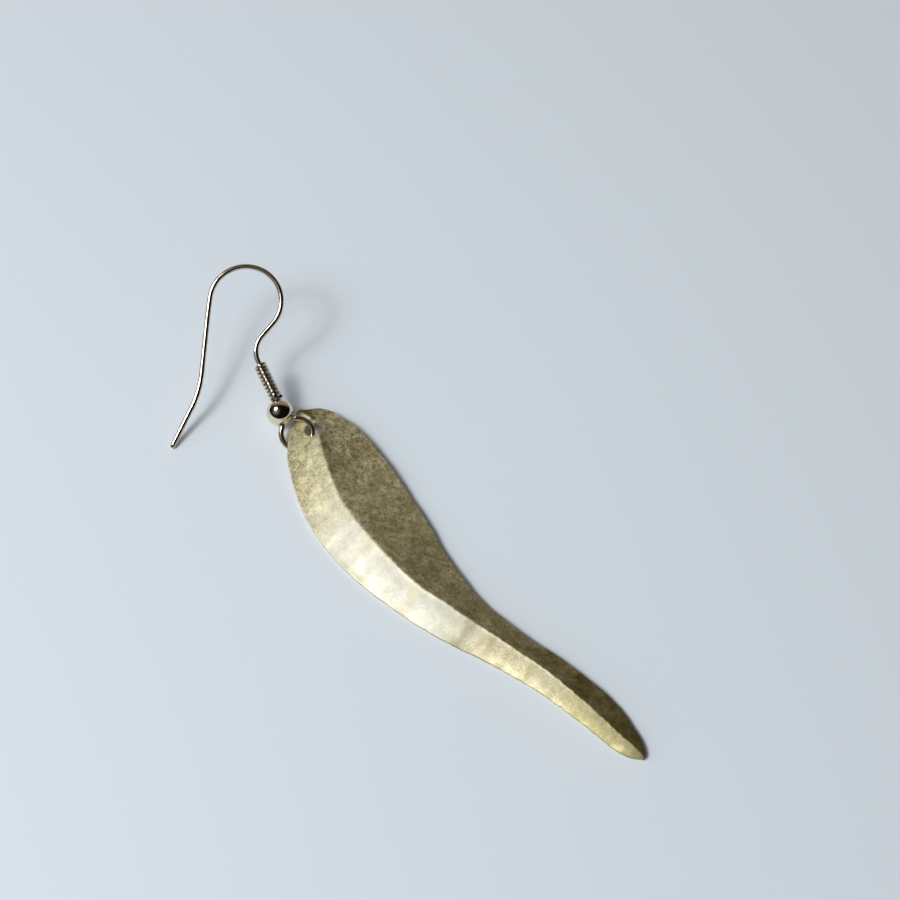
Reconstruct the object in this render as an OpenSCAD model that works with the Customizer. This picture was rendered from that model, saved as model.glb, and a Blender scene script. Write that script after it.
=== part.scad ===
// Leaf drop earring with a fish-hook ear wire, lying on a flat surface as it was put down.
// Units are millimetres. +Z is up, the surface is z = 0, and the leaf's tail points along -Y.

/* [Ear wire] */
// Thickness of the ear wire
wire_d = 0.6; // [0.5:0.02:0.62]
// Angle at which the flat of the hook rises from the surface
hook_tilt = 25; // [24.5:0.5:26]
// Sideways roll of the hook, the eye ring end being a little higher than the tip
hook_roll = 1.2; // [1.1:0.1:1.4]
// Radius of the wire's round eye, to the middle of the wire
ring_r = 1.73; // [1.7:0.01:1.78]

/* [Coil and bead] */
// Thickness of the fine wire that is wound round the shank
coil_wire_d = 0.4; // [0.3:0.02:0.42]
// Distance from one turn of the coil to the next
coil_pitch = 0.46; // [0.44:0.01:0.47]
// Turns of the coil
coil_turns = 9; // [5:0.5:9]
// Diameter of the bead
ball_d = 3; // [2.6:0.1:3]
// Diameter of the hole drilled through the bead
bore_d = 0.9; // [0.76:0.02:1.2]

/* [Leaf] */
// Thickness of the sheet
sheet_t = 0.4; // [0.3:0.02:0.4]
// Height of the crease, as a share of the height in the table of sections
crease_rise = 1; // [0.8:0.05:1.1]
// How hollow each face is: 0 is flat, and more is steeper at the crease and flatter at the edge
hollow = 0.4; // [0:0.05:0.5]
// Diameter of the hole that the eye passes through
hole_d = 2.1; // [2.05:0.05:2.2]

/* [Hidden] */
$fn = 48;

wire_r = wire_d / 2;
ball_r = ball_d / 2;
// Gap left between the shank and what sits on it
slip = 0.06;
// Turn of the hook about the vertical, against the line of the leaf
hook_yaw = -38.3;
// Where the tip of the ear wire touches the surface, from the head end of the leaf
tip_at = [-11.8, 5.3];
// Middle of the whole piece on the surface, from the head end of the leaf
middle = [-2.26, -20.384];

// The ear wire as it is bent, row by row, from its free tip to the cut end of the eye.
// Each row is a straight run and the bend that follows it. Turns to the left are positive.
RUN = 0;
RADIUS = 1;
TURN = 2;
tip_heading = 63.8;
LEG = 0;
SHANK = 4;
BEAD_RUN = 5;
EYE = 6;
wire_bends = [
    [4.6, 11.6, 20.7],
    [6.6, 5.6, -1.5],
    [1.85, 3.98, -214],
    [1.8, 2.65, 66.9],
    [4.87, 1, -16],
    [2.6, 0.7, -26.5],
    [0.1, ring_r, 286],
];
// The wire is a hair thicker round a bend, and each straight runs on a little way inside it
bend_swell = 0.005;
lap = 0.03;
// Filed end of the free tip
tip_taper = 0.25;
tip_end_r = 0.18;

// Start of the coil along the shank, and how far round the wire it begins
coil_start = 0.45;
coil_mid_r = wire_r + slip + coil_wire_d / 2;
coil_sides = 6;
coil_steps_turn = 22;

// Middle of the bead along its run
bead_at = 1.12;

// Sections across the leaf, from the head end to the tail.
// ALONG is the distance from the head end, LEFT, RIGHT and CREASE are offsets to the side,
// and the last three are heights of the upper face at the left edge, right edge and crease.
ALONG = 0;
LEFT = 1;
RIGHT = 2;
CREASE = 3;
LEFT_Z = 4;
RIGHT_Z = 5;
CREASE_Z = 6;
sections = [
    [0, 1.3, 1.9, 1.6, 0.88, 0.88, 0.88],
    [0.4, 0.8, 2.75, 1.7, 0.92, 0.92, 1],
    [1, 0, 3.7, 1.85, 1, 0.97, 1.1],
    [2, -1.1, 4.4, 2.1, 1.2, 1.05, 1.32],
    [3.2, -2.3, 4.8, 2.1, 1.4, 1.1, 1.66],
    [5, -3.6, 5.2, 1.2, 1.35, 1.1, 2.1],
    [7.5, -4.7, 5.4, 0, 0.8, 0.95, 2.3],
    [11, -5.9, 5.2, -1.4, 0.45, 0.8, 2.45],
    [15, -6.6, 4.7, -2.5, 0.39, 0.68, 2.6],
    [20, -6.7, 3.9, -2.9, 0.37, 0.6, 2.75],
    [26, -5.8, 2.7, -2.7, 0.37, 0.56, 2.65],
    [32, -4.2, 2.3, -1.2, 0.37, 0.54, 2.4],
    [38, -1.9, 3.2, 0.4, 0.37, 0.54, 2.15],
    [44, 0, 4.6, 1.8, 0.37, 0.52, 2],
    [50, 1.2, 5.4, 2.55, 0.37, 0.5, 1.8],
    [53.5, 1.7, 5, 2.95, 0.37, 0.5, 1.5],
    [55.5, 2.3, 4.5, 3.3, 0.38, 0.5, 1.15],
    [56.5, 3.1, 4, 3.5, 0.4, 0.48, 0.7],
    [56.8, 3.4, 3.7, 3.5, 0.4, 0.4, 0.4],
];
steps_span = 3;
steps_face = 6;
// How sharply the crease is folded, as a share of the half width
crease_round = 0.1;
// Hole of the leaf: distance from the head end, offset, and fall of the sheet towards the head
hole_along = 3.33;
hole_side = 1.22;
head_fall = 13;
// Row of the table of sections that is nearest the hole
hole_row = 4;
// How far a cutting shape runs past what it cuts
cut_past = 0.5;

function bend_centre_y(row) = row[TURN] > 0 ? row[RADIUS] : -row[RADIUS];

// Smooth curve through one column of the table, between row i and the next
function row_no(i) = sections[max(0, min(len(sections) - 1, i))];
function smooth(a, b, c, d, t) =
    b + t * ((c - a) / 2 + t * ((a - 2.5 * b + 2 * c - d / 2) + t * (1.5 * (b - c) + (d - a) / 2)));
function column(c, i, t) =
    smooth(
        i == 0 ? 2 * row_no(0)[c] - row_no(1)[c] : row_no(i - 1)[c],
        row_no(i)[c],
        row_no(i + 1)[c],
        i + 2 > len(sections) - 1 ? 2 * row_no(i + 1)[c] - row_no(i)[c] : row_no(i + 2)[c],
        t
    );
function section_at(i, t) = [for (c = [ALONG:CREASE_Z]) column(c, i, t)];

// Share of the way down from the crease to the edge, rounded at the crease and hollow beside it
crease_scale = sqrt(1 + crease_round * crease_round) - crease_round;
function rounded(s) = (sqrt(s * s + crease_round * crease_round) - crease_round) / crease_scale;
function fall(s) = rounded(s) * (1 + hollow * (1 - rounded(s)));
function fall_slope(s) =
    s / sqrt(s * s + crease_round * crease_round) / crease_scale * (1 + hollow - 2 * hollow * rounded(s));

// Points across one section, from the left edge to the right edge
function face_x(q, v) = v < 0 ? q[CREASE] + v * (q[CREASE] - q[LEFT]) : q[CREASE] + v * (q[RIGHT] - q[CREASE]);
function edge_z(q, v) = v < 0 ? q[LEFT_Z] : q[RIGHT_Z];
function crest_z(q) = max(q[LEFT_Z], q[RIGHT_Z])
    + (q[CREASE_Z] - max(q[LEFT_Z], q[RIGHT_Z])) * crease_rise;
function face_z(q, v) = crest_z(q) - (crest_z(q) - edge_z(q, v)) * fall(abs(v));
function half_w(q, v) = v < 0 ? q[CREASE] - q[LEFT] : q[RIGHT] - q[CREASE];
function slope(q, v) = -sign(v) * (crest_z(q) - edge_z(q, v)) * fall_slope(abs(v)) / half_w(q, v);
function top_point(q, v) = [face_x(q, v), -q[ALONG], face_z(q, v)];
function under_point(q, v) =
    let (k = sheet_t / sqrt(1 + slope(q, v) * slope(q, v)))
    [face_x(q, v) + slope(q, v) * k, -q[ALONG], face_z(q, v) - k];

spans = len(sections) - 1;
stations = [for (i = [0:spans - 1]) for (j = [0:steps_span - 1]) section_at(i, j / steps_span),
    row_no(spans)];
across = [for (j = [-steps_face:steps_face]) j / steps_face];
n_s = len(stations);
n_a = len(across);

// Turn of the fine wire: middle of the wire at angle a, and the ring of points round it
function coil_mid(a) = [a / 360 * coil_pitch, coil_mid_r * cos(a), coil_mid_r * sin(a)];
function coil_ring(a) = [
    for (k = [0:coil_sides - 1])
        let (b = k * 360 / coil_sides, m = coil_mid(a))
        m + coil_wire_d / 2 * [sin(b), cos(b) * cos(a), cos(b) * sin(a)]
];
coil_n = round(coil_turns * coil_steps_turn);

module lay() {
    translate([-middle[0], -middle[1], 0])
        children();
}

// From the flat of the hook to where the hook lies
module on_hook() {
    lay()
        translate([tip_at[0], tip_at[1], wire_r])
            rotate([hook_tilt, -hook_roll, hook_yaw])
                rotate([0, 0, tip_heading])
                    children();
}

module bend(row) {
    rotate([row[TURN] > 0 ? 0 : 180, 0, 0])
        translate([0, row[RADIUS], 0])
            rotate([0, 0, -90])
                rotate_extrude(angle = abs(row[TURN]))
                    translate([row[RADIUS], 0])
                        circle(r = wire_r + bend_swell);
}

module past_bend(row) {
    translate([0, bend_centre_y(row), 0])
        rotate([0, 0, row[TURN]])
            translate([0, -bend_centre_y(row), 0])
                children();
}

// Straight run, which starts a little way back inside the bend before it
module straight(run, back) {
    translate([-back, 0, 0])
        rotate([0, 90, 0])
            cylinder(h = back + run + lap, r = wire_r);
}

// Carries its children to the start of row k of the bending table
module at_row(k, i = 0) {
    if (i == k) {
        children();
    } else {
        translate([wire_bends[i][RUN], 0, 0])
            past_bend(wire_bends[i])
                at_row(k, i + 1)
                    children();
    }
}

module ear_hook() {
    color([0.80, 0.66, 0.46])
        on_hook() {
            translate([-tip_taper, 0, 0])
                rotate([0, 90, 0])
                    cylinder(h = tip_taper, r1 = tip_end_r, r2 = wire_r);
            for (i = [LEG:EYE]) {
                at_row(i) {
                    straight(wire_bends[i][RUN], i == LEG ? 0 : lap);
                    translate([wire_bends[i][RUN], 0, 0])
                        bend(wire_bends[i]);
                }
            }
        }
}

module wire_coil() {
    points = [for (i = [0:coil_n]) each coil_ring(i * 360 / coil_steps_turn)];
    sides = [
        for (i = [0:coil_n - 1])
            for (k = [0:coil_sides - 1])
                let (
                    a = i * coil_sides + k,
                    b = i * coil_sides + (k + 1) % coil_sides
                )
                [a, b, b + coil_sides, a + coil_sides]
    ];
    first_cap = [for (k = [coil_sides - 1:-1:0]) k];
    last_cap = [for (k = [0:coil_sides - 1]) coil_n * coil_sides + k];
    color([0.86, 0.72, 0.50])
        on_hook()
            at_row(SHANK)
                translate([coil_start, 0, 0])
                    polyhedron(points = points, faces = concat(sides, [first_cap, last_cap]));
}

module ball_bead() {
    color([0.78, 0.62, 0.44])
        on_hook()
            at_row(BEAD_RUN)
                translate([bead_at, 0, 0])
                    rotate([0, 90, 0])
                        difference() {
                            sphere(r = ball_r);
                            cylinder(h = ball_d + 2 * cut_past, r = bore_d / 2, center = true);
                        }
}

module leaf_sheet() {
    top = [for (q = stations) for (v = across) top_point(q, v)];
    under = [for (q = stations) for (v = across) under_point(q, v)];
    m = n_s * n_a;
    upper = [
        for (i = [0:n_s - 2])
            for (j = [0:n_a - 2])
                let (a = i * n_a + j)
                each [[a, a + 1, a + n_a + 1], [a, a + n_a + 1, a + n_a]]
    ];
    lower = [for (f = upper) [m + f[2], m + f[1], m + f[0]]];
    edges = [
        for (i = [0:n_s - 2])
            let (a = i * n_a, b = i * n_a + n_a - 1)
            each [
                [a, a + n_a, m + a + n_a],
                [a, m + a + n_a, m + a],
                [b, m + b + n_a, b + n_a],
                [b, m + b, m + b + n_a]
            ]
    ];
    ends = [
        for (j = [0:n_a - 2])
            let (a = j, b = (n_s - 1) * n_a + j)
            each [
                [a, m + a, m + a + 1],
                [a, m + a + 1, a + 1],
                [b, m + b + 1, m + b],
                [b, b + 1, m + b + 1]
            ]
    ];
    polyhedron(points = concat(top, under), faces = concat(upper, lower, edges, ends));
}

module leaf() {
    color([0.62, 0.55, 0.32])
        lay()
            difference() {
                leaf_sheet();
                translate([hole_side, -hole_along, 0])
                    rotate([-head_fall, 0, 0])
                        cylinder(h = row_no(hole_row)[CREASE_Z] + 2 * cut_past, r = hole_d / 2);
            }
}

ear_hook();
wire_coil();
ball_bead();
leaf();
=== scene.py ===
import math

import bpy
import numpy as np
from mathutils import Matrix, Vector


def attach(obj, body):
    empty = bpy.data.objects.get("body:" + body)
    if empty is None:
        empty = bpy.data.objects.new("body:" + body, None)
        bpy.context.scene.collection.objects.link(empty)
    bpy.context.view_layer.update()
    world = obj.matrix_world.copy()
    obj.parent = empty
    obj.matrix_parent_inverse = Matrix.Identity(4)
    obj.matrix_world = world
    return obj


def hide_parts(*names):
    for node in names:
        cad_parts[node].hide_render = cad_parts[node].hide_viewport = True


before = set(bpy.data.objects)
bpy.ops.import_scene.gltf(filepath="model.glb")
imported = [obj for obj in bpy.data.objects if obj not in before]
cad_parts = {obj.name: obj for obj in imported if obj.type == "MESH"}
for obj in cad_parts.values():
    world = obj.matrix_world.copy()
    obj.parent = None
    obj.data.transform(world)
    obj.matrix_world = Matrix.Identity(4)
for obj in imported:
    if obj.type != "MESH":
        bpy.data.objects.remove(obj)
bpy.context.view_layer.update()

# A leaf drop earring on a fish-hook ear wire, lying on a pale surface.
# Lengths in the dictionaries are millimetres and angles are degrees.
mm = 0.001
axisX, axisY, axisZ = np.eye(3)[:, None]
print("frame loaded:", ", ".join(sorted(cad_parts)))

# How the whole piece lies: the leaf's head end at -middle, and the flat hook turned about its tip.
lie = {
    "middle": (-2.26, -20.384),
    "tipAt": (-11.8, 5.3),
    "tipHeight": 0.3,
    "hookTilt": 25.0,
    "hookRoll": 1.2,
    "hookYaw": -38.3,
    "tipHeading": 63.8,
}


def turnedBy(angle, first, second):
    # Matrix of a turn in the plane of two axes: cos on the diagonal, sin and -sin beside it.
    matrix = np.eye(3)
    matrix[[first, second], [first, second]] = math.cos(angle)
    matrix[second, first], matrix[first, second] = math.sin(angle), -math.sin(angle)
    return matrix


def onHook(points):
    # From the flat of the hook to where the hook lies: turned about X by the tilt, about Y by the roll
    # and about Z by the yaw, then moved to the tip's place.
    tilt, roll, yaw = (math.radians(lie[key]) for key in ("hookTilt", "hookRoll", "hookYaw"))
    turn = turnedBy(yaw, 0, 1) @ turnedBy(roll, 0, 2) @ turnedBy(tilt, 1, 2)
    return points @ turn.T + [*np.subtract(lie["tipAt"], lie["middle"]), lie["tipHeight"]]


def bentPath(rows, heading, spacing):
    # Walks the bending table. A straight run is start + distance * heading, and an arc is
    # centre + radius * (sin heading, -cos heading) while the heading turns.
    at, way = np.zeros(2), math.radians(heading)
    points, ways, starts = [], [], []
    for run, radius, turn in rows:
        ahead = np.array([math.cos(way), math.sin(way)])
        starts.append((at, way))
        distance = np.linspace(0, run, max(2, int(run / spacing)), endpoint=False)
        points.append(at + distance[:, None] * ahead)
        ways.append(np.full(len(distance), way))
        at = at + run * ahead
        side, sweep = math.copysign(radius, turn), math.radians(turn)
        centre = at + side * np.array([-ahead[1], ahead[0]])
        swept = way + np.linspace(0, sweep, max(4, int(abs(sweep) * radius / spacing)), endpoint=False)
        points.append(centre + side * np.stack([np.sin(swept), -np.cos(swept)], axis=1))
        ways.append(swept)
        way += sweep
        at = centre + side * np.array([math.sin(way), -math.cos(way)])
    points.append(at[None])
    ways.append(np.array([way]))
    return np.concatenate(points), np.concatenate(ways), starts


def carryCircle(path, across, up, radii, sides):
    # Tube: point = path point + radius * (across * cos(angle) + up * sin(angle)).
    angle = np.linspace(0, 2 * math.pi, sides, endpoint=False)[None, :, None]
    outward = across[:, None] * np.cos(angle) + up[:, None] * np.sin(angle)
    return path[:, None] + radii[:, None, None] * outward


def gridQuads(rows, columns, wrapRows=False, wrapColumns=False):
    # Joins each point of a grid to the next ones along and across, wrapping where it closes.
    row = np.arange(rows if wrapRows else rows - 1)[:, None]
    column = np.arange(columns if wrapColumns else columns - 1)[None, :]
    nextRow, nextColumn = (row + 1) % rows, (column + 1) % columns
    corners = (row * columns + column, row * columns + nextColumn,
               nextRow * columns + nextColumn, nextRow * columns + column)
    return np.stack(np.broadcast_arrays(*corners), axis=-1).reshape(-1, 4)


def fan(pole, ring):
    # Triangles from a pole to a closed ring of points.
    return np.stack([np.full(len(ring), pole), ring, np.roll(ring, -1)], axis=1)


def closedTube(rings):
    # A tube's rings as points and faces, with a pole in the middle of the first and of the last ring.
    count, sides = rings.shape[:2]
    points = np.concatenate([rings.reshape(-1, 3), rings[:1].mean(axis=1), rings[-1:].mean(axis=1)])
    firstRing, lastRing = np.arange(sides), (count - 1) * sides + np.arange(sides)
    faces = [gridQuads(count, sides, wrapColumns=True),
             fan(count * sides, firstRing[::-1]), fan(count * sides + 1, lastRing)]
    return points, faces


def alongPath(path):
    # Length of the path up to each of its points.
    steps = np.linalg.norm(np.diff(path, axis=0), axis=1)
    return np.concatenate([[0], np.cumsum(steps)])


def straightened(lengths, radii, sides):
    # Where a tube's points would be with its wire pulled straight along Y.
    return closedTube(carryCircle(lengths[:, None] * axisY, axisX, axisZ, radii, sides))[0]


def waves(at, rows, middle=0.0):
    # Middle + the sum of size * sin(speed * at + start), over rows of size, speed and start.
    return sum((size * np.sin(speed * at + start) for size, speed, start in rows), middle)


def roundedEnd(fromEnd, reach, width):
    # Share of the full radius near a cut end: width + (1 - width) * a quarter circle over the reach.
    share = np.clip(fromEnd / reach, 0, 1)
    return width + (1 - width) * np.sqrt(1 - (1 - share) ** 2)


def eased(share):
    # Smooth step: 3 * share squared - 2 * share cubed.
    return share * share * (3 - 2 * share)


def addObject(name, data):
    # A new object in the scene's own collection.
    made = bpy.data.objects.new(name, data)
    bpy.context.collection.objects.link(made)
    return made


def addPiece(name, points, faces, material, replaced, attributes):
    # Puts points in millimetres, with lists of quads and triangles, into a mesh that rides on the root.
    mesh = bpy.data.meshes.new(name)
    corners = np.concatenate([part.ravel() for part in faces]).astype(np.int32)
    sizes = np.concatenate([np.full(len(part), part.shape[1]) for part in faces])
    mesh.vertices.add(len(points))
    mesh.vertices.foreach_set("co", (points * mm).astype(np.float32).ravel())
    mesh.loops.add(len(corners))
    mesh.loops.foreach_set("vertex_index", corners)
    mesh.polygons.add(len(sizes))
    mesh.polygons.foreach_set("loop_start", (np.cumsum(sizes) - sizes).astype(np.int32))
    for label, values in attributes.items():
        isVector = values.ndim == 2
        layer = mesh.attributes.new(label, "FLOAT_VECTOR" if isVector else "FLOAT", "POINT")
        layer.data.foreach_set("vector" if isVector else "value", values.astype(np.float32).ravel())
    mesh.update(calc_edges=True)
    mesh.validate()
    mesh.shade_smooth()
    mesh.materials.append(material)
    piece = addObject(name, mesh)
    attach(piece, "root")
    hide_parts(replaced)
    print(f"{name}: {len(points)} points, {(sizes - 2).sum()} triangles")


def addNode(tree, kind, inputs=None, **settings):
    # Adds a shader node, sets its properties, and sets or links its inputs by name or by number.
    node = tree.nodes.new("ShaderNode" + kind)
    for key, value in settings.items():
        setattr(node, key, value)
    for key, value in (inputs or {}).items():
        socket = node.inputs[key]
        if isinstance(value, bpy.types.NodeSocket):
            tree.links.new(value, socket)
        else:
            socket.default_value = (*value, 1.0) if socket.type == "RGBA" else value
    return node


def calculate(tree, operation, *values):
    # The values put together by the operation. MULTIPLY_ADD is first * second + third.
    return addNode(tree, "Math", dict(enumerate(values)), operation=operation).outputs[0]


def multiplied(tree, *values):
    # All the values multiplied, one after the other.
    product = values[0]
    for value in values[1:]:
        product = calculate(tree, "MULTIPLY", product, value)
    return product


def stepped(tree, value, low, high, atLow=0.0, atHigh=1.0):
    # Smooth step from atLow to atHigh while the value goes from low to high.
    return addNode(tree, "MapRange", {
        "Value": value, "From Min": low, "From Max": high, "To Min": atLow, "To Max": atHigh},
        interpolation_type="SMOOTHSTEP").outputs[0]


def mixColours(tree, share, first, second, blend="MIX"):
    # MIX is first * (1 - share) + second * share, MULTIPLY is first * (1 - share + second * share),
    # and ADD is first + second * share.
    inputs = {0: share, 6: first, 7: second}
    return addNode(tree, "Mix", inputs, data_type="RGBA", blend_type=blend).outputs[2]


def mixValues(tree, share, first, second):
    # first * (1 - share) + second * share.
    return addNode(tree, "Mix", {0: share, 2: first, 3: second}, data_type="FLOAT").outputs[0]


def noise(tree, place, fineness, detail, roughness=0.5, distortion=0.0):
    # Soft noise between 0 and 1, with about so many lumps to a unit of place as the fineness.
    return addNode(tree, "TexNoise", {
        "Vector": place, "Scale": fineness, "Detail": detail, "Roughness": roughness,
        "Distortion": distortion}).outputs[0]


def attribute(tree, name, output="Fac"):
    # What the mesh holds under this name.
    return addNode(tree, "Attribute", attribute_name=name).outputs[output]


def oneAxis(tree, vector, axis):
    # The X, Y or Z of a vector.
    return addNode(tree, "SeparateXYZ", {0: vector}).outputs[axis]


def combined(tree, x, y, z):
    # A vector, or a colour, of three values.
    return addNode(tree, "CombineXYZ", {0: x, 1: y, 2: z}).outputs[0]


def newGroup(name, inputs, outputs):
    # A shader node group with named inputs and outputs: numbers, vectors of three and colours of four.
    group = bpy.data.node_groups.new(name, "ShaderNodeTree")
    kinds = {1: "NodeSocketFloat", 3: "NodeSocketVector", 4: "NodeSocketColor"}
    for side, sockets in (("INPUT", inputs), ("OUTPUT", outputs)):
        for label, value in sockets.items():
            kind = kinds[np.size(value)]
            group.interface.new_socket(label, in_out=side, socket_type=kind).default_value = value
    return group, group.nodes.new("NodeGroupInput").outputs, group.nodes.new("NodeGroupOutput").inputs


# What all the metals share: detail, roughness and distortion of each noise, and the limits of steps.
texture = {
    "lumps": (4.0, 0.62),
    "strokes": (2.0, 0.5),
    "pitsPerLump": 0.34,
    "pitEdge": (0.08, 0.3),
    "pitRoughness": 0.1,
    "clouds": (5.0, 0.68, 0.4),
    "cloudEdge": 0.2,  # to either side of the level
    "specks": (2.0, 0.7),
    "blotches": (3.0, 0.6, 0.6),
    "spotEdge": (0.3, 0.7),
    "patches": (0.45, 1.0),  # patches to the millimetre, and their detail
    "patchEdge": (0.4, 0.62),
    "betweenPatches": 0.45,  # share of the specks that is left there
}


def makeFineGrain():
    # Height, about 0 to 1, is lumps * (1 - Stroke Share) + strokes * Stroke Share - pits * Pit Depth.
    # The strokes run along the vector's Y.
    group, given, result = newGroup("fineGrain", {
        "Vector": (0, 0, 0), "Fineness": 5000.0, "Stroke Length": 6.0, "Stroke Share": 0.4,
        "Pit Depth": 0.3}, {"Height": 0.0, "Pits": 0.0})
    place, fineness = given["Vector"], given["Fineness"]
    shrink = calculate(group, "DIVIDE", 1.0, given["Stroke Length"])
    stretched = addNode(group, "VectorMath", {0: place, 1: combined(group, 1.0, shrink, 1.0)},
                        operation="MULTIPLY").outputs[0]
    lumps = noise(group, place, fineness, *texture["lumps"])
    strokes = noise(group, stretched, fineness, *texture["strokes"])
    grain = mixValues(group, given["Stroke Share"], lumps, strokes)
    cells = addNode(group, "TexVoronoi", {
        "Vector": place, "Scale": multiplied(group, fineness, texture["pitsPerLump"])})
    pits = stepped(group, cells.outputs["Distance"], *texture["pitEdge"], 1.0, 0.0)
    sunk = multiplied(group, pits, given["Pit Depth"])
    group.links.new(calculate(group, "SUBTRACT", grain, sunk), result["Height"])
    group.links.new(pits, result["Pits"])
    return group


def makeTarnish():
    # Clouds of dull metal over the clean metal. Mask is the clouds stepped about the level 1 - Amount,
    # and Colour is Clean * (1 - Mask) + Dull * Mask.
    group, given, result = newGroup("tarnish", {
        "Vector": (0, 0, 0), "Fineness": 400.0, "Amount": 0.5, "Clean": (0.8, 0.7, 0.4, 1),
        "Dull": (0.4, 0.35, 0.2, 1)}, {"Colour": (0, 0, 0, 1), "Mask": 0.0})
    clouds = noise(group, given["Vector"], given["Fineness"], *texture["clouds"])
    level = calculate(group, "SUBTRACT", 1.0, given["Amount"])
    low = calculate(group, "SUBTRACT", level, texture["cloudEdge"])
    high = calculate(group, "ADD", level, texture["cloudEdge"])
    mask = stepped(group, clouds, low, high)
    group.links.new(mixColours(group, mask, given["Clean"], given["Dull"]), result["Colour"])
    group.links.new(mask, result["Mask"])
    return group


def makeSpeckle():
    # Tone, light or dark from spot to spot, is 1 + Specks * Speck Depth + blotches * Blotch Depth. Both
    # go from -1 to 1, and the specks are weaker between their patches.
    group, given, result = newGroup("speckle", {
        "Vector": (0, 0, 0), "Specks Per Length": 8.0, "Speck Depth": 0.3,
        "Blotches Per Length": 1.8, "Blotch Depth": 0.2}, {"Tone": 1.0, "Specks": 0.0})
    place = given["Vector"]
    specks = noise(group, place, given["Specks Per Length"], *texture["specks"])
    blotches = noise(group, place, given["Blotches Per Length"], *texture["blotches"])
    patches = noise(group, place, *texture["patches"])
    inPatch = stepped(group, patches, *texture["patchEdge"], texture["betweenPatches"], 1.0)
    fine = multiplied(group, stepped(group, specks, *texture["spotEdge"], -1.0, 1.0), inPatch)
    broad = stepped(group, blotches, *texture["spotEdge"], -1.0, 1.0)
    tone = calculate(group, "MULTIPLY_ADD", broad, given["Blotch Depth"], 1.0)
    tone = calculate(group, "MULTIPLY_ADD", fine, given["Speck Depth"], tone)
    group.links.new(tone, result["Tone"])
    group.links.new(fine, result["Specks"])
    return group


fineGrain, tarnish, speckle = makeFineGrain(), makeTarnish(), makeSpeckle()


def newMaterial(name, metallic, roughness):
    # A material with its own shader. The roughness is what it has before any detail is linked.
    material = bpy.data.materials.new(name)
    material.use_nodes = True
    tree = material.node_tree
    tree.nodes.clear()
    shader = addNode(tree, "BsdfPrincipled", {"Metallic": metallic, "Roughness": roughness})
    addNode(tree, "OutputMaterial", {"Surface": shader.outputs[0]}, target="ALL")
    return material, tree, shader


def addWear(tree, place, look):
    # Tarnish and fine grain by the look, and roughness * (1 - Mask) + roughnessDull * Mask.
    worn = addNode(tree, "Group", node_tree=tarnish, inputs={
        "Vector": place, "Fineness": look["cloudsPerMm"], "Amount": look["dullShare"],
        "Clean": look["clean"], "Dull": look["dull"]}).outputs
    grain = addNode(tree, "Group", node_tree=fineGrain, inputs={
        "Vector": place, "Fineness": look["grainPerMm"], "Stroke Length": look["drawLength"],
        "Stroke Share": look["drawShare"], "Pit Depth": look["pitDepth"]}).outputs
    return worn, grain, mixValues(tree, worn["Mask"], look["roughness"], look["roughnessDull"])


def addBump(tree, shader, height, depth):
    # Shades the metal as if it stood higher by height * depth.
    bump = addNode(tree, "Bump", {"Strength": 1.0, "Distance": depth * mm, "Height": height})
    tree.links.new(bump.outputs[0], shader.inputs["Normal"])


def makeGold(name, look):
    # Gold plating of the ear wire, its coil and its bead: the worn colour * a painted shade colour from a
    # distance on, * a painted shade colour in the grooves on the inner side.
    material, tree, shader = newMaterial(name, 1.0, look["roughness"])
    place = attribute(tree, "unbent", "Vector")
    worn, grain, rough = addWear(tree, place, look)
    metal = worn["Colour"]
    if "paintedShade" in look:
        # painted shade from a distance along the wire on, over the eye
        isPaintedShade = stepped(tree, oneAxis(tree, place, "Y"), *look["paintedShadeEdge"])
        metal = mixColours(tree, isPaintedShade, metal, look["paintedShade"], "MULTIPLY")
    if "grooveShade" in look:
        # painted shade on the inner side of the wire, where the turns meet
        inGrooveShade = stepped(tree, oneAxis(tree, place, "X"), *look["grooveShadeEdge"], 1.0, 0.0)
        metal = mixColours(tree, inGrooveShade, metal, look["grooveShade"], "MULTIPLY")
    tree.links.new(metal, shader.inputs["Base Color"])
    rough = calculate(tree, "MULTIPLY_ADD", grain["Pits"], texture["pitRoughness"], rough)
    tree.links.new(rough, shader.inputs["Roughness"])
    addBump(tree, shader, grain["Height"], look["grainDepth"])
    return material


# Ear wire: one bent wire, from its free tip to the cut end of its eye.
earWire = {
    "thickness": 0.6,
    "bends": [  # straight run, radius of the bend after it, and its turn, left positive
        (4.6, 11.6, 20.7),
        (6.6, 5.6, -1.5),
        (1.85, 3.98, -214.0),
        (1.8, 2.65, 66.9),
        (4.87, 1.0, -16.0),
        (2.6, 0.7, -26.5),
        (0.1, 1.73, 296.5),
    ],
    "sides": 28,
    "spacing": 0.09,
    "tipTaper": 0.25,
    "filedAt": (0.0, 0.04, 0.14, 0.3, 0.6),  # shares of the taper where it has rings
    "tipRadius": 0.18,
    "tipBlunt": 0.72,  # share of it that is left at the very end
    "endRound": 0.07,
    "endWidth": 0.8,  # share of the radius at the cut end
    "wander": 0.006,  # how far the drawn wire is from round
    "wanderWaves": ((0.25, 1.9, 0.0), (0.25, 5.3, 1.0)),  # size, speed along the wire and start
    "look": {
        "clean": (0.72, 0.625, 0.49), "dull": (0.42, 0.34, 0.25), "roughness": 0.14, "roughnessDull": 0.25,
        "cloudsPerMm": 0.5, "dullShare": 0.42, "grainPerMm": 14.0, "drawLength": 22.0, "drawShare": 0.8,
        "grainDepth": 0.0022, "pitDepth": 0.15,
        "paintedShade": (0.78, 0.69, 0.60), "paintedShadeEdge": (44.5, 46.5),  # painted shade, darker and browner from the eye on
    },
}


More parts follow.
